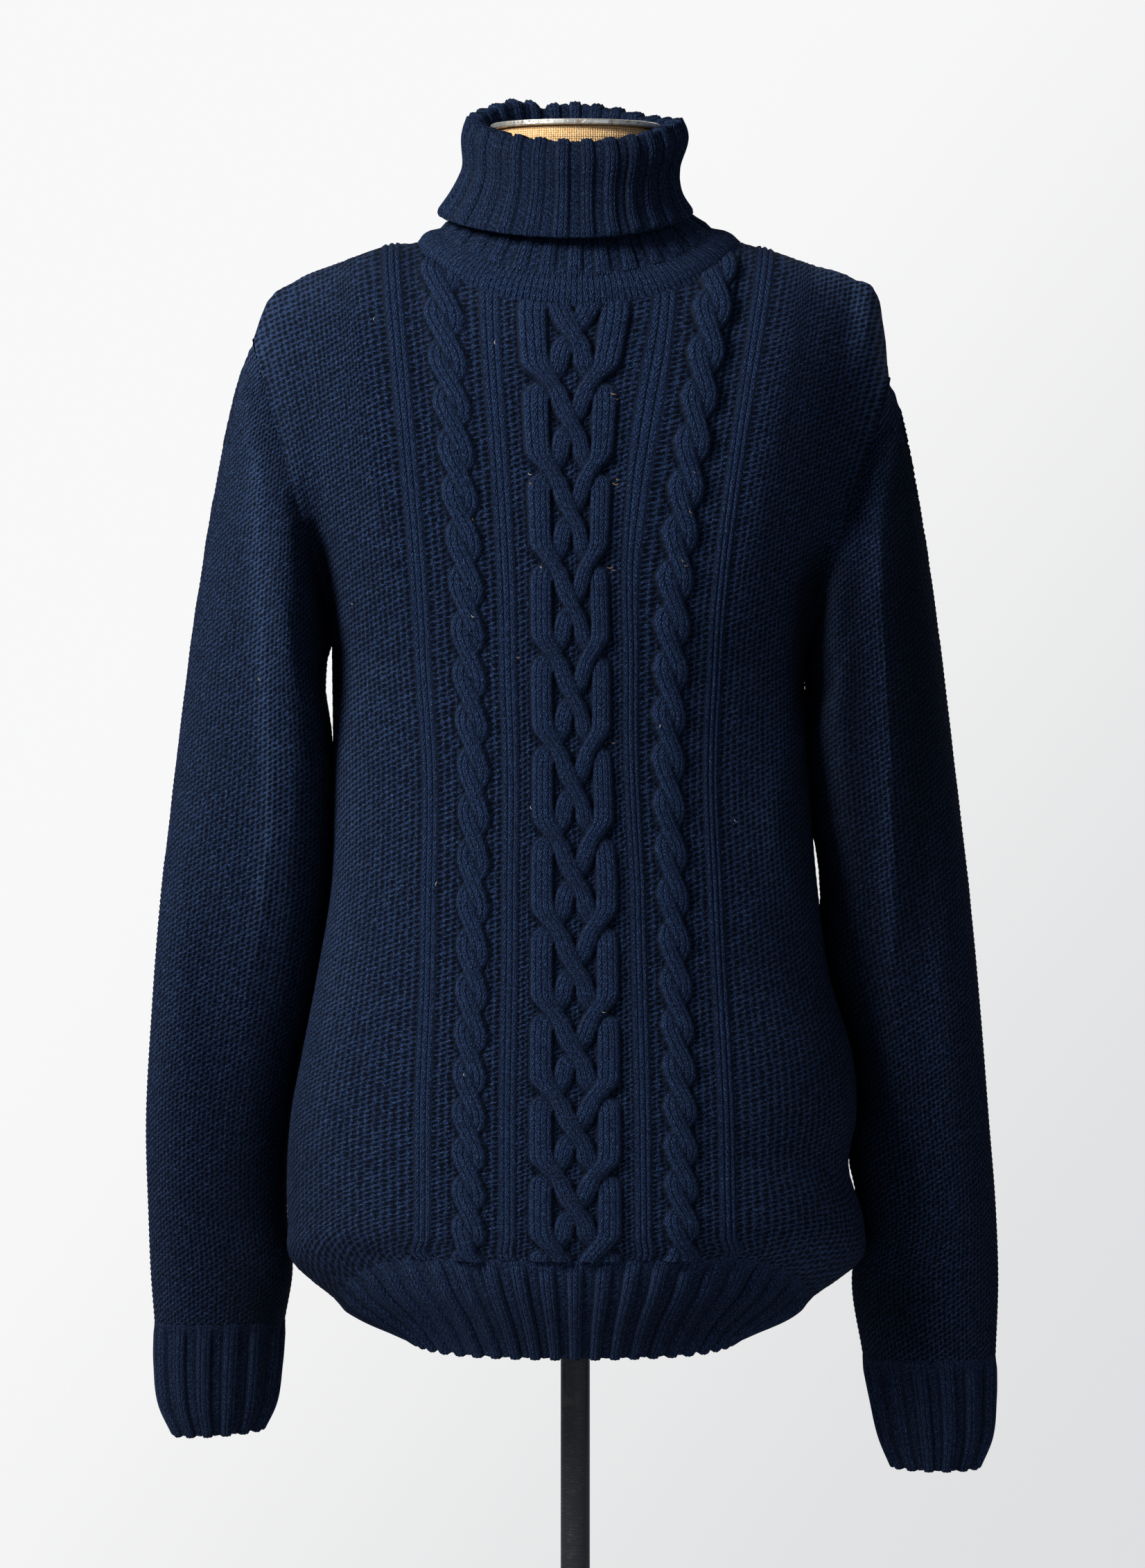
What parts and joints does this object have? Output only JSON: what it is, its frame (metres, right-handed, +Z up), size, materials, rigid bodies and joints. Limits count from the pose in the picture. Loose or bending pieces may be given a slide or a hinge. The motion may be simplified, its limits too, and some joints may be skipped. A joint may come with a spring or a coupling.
{
  "type": "turtleneck sweater on a dress form stand",
  "caption": "Navy aran cable knit turtleneck sweater with long sleeves and ribbed hem, cuffs and folded collar, worn on a limbless linen dress form on a black pole stand.",
  "frame": {"origin": "centre of the round base's underside, on the floor", "axes": "+Z up along the pole, -Y towards the front of the sweater, +X towards the right as seen from the front"},
  "size_m": [0.557, 0.33, 1.1102],
  "materials": {
    "navy_knit": "soft wool knit, aran cables on a purl ground",
    "linen": "natural linen, plain weave",
    "worn_chrome": "polished, worn",
    "black_paint": "satin black"
  },
  "bodies": {
    "root": {"front_body": "navy_knit", "back_body": "navy_knit", "front_hem_rib": "navy_knit", "back_hem_rib": "navy_knit", "sleeve_left": "navy_knit", "sleeve_right": "navy_knit", "cuff_left": "navy_knit", "cuff_right": "navy_knit", "neckband": "navy_knit", "collar": "navy_knit", "form_torso": "linen", "neck_plate": "worn_chrome", "pole": "black_paint", "base": "black_paint"}
  },
  "joints": []
}
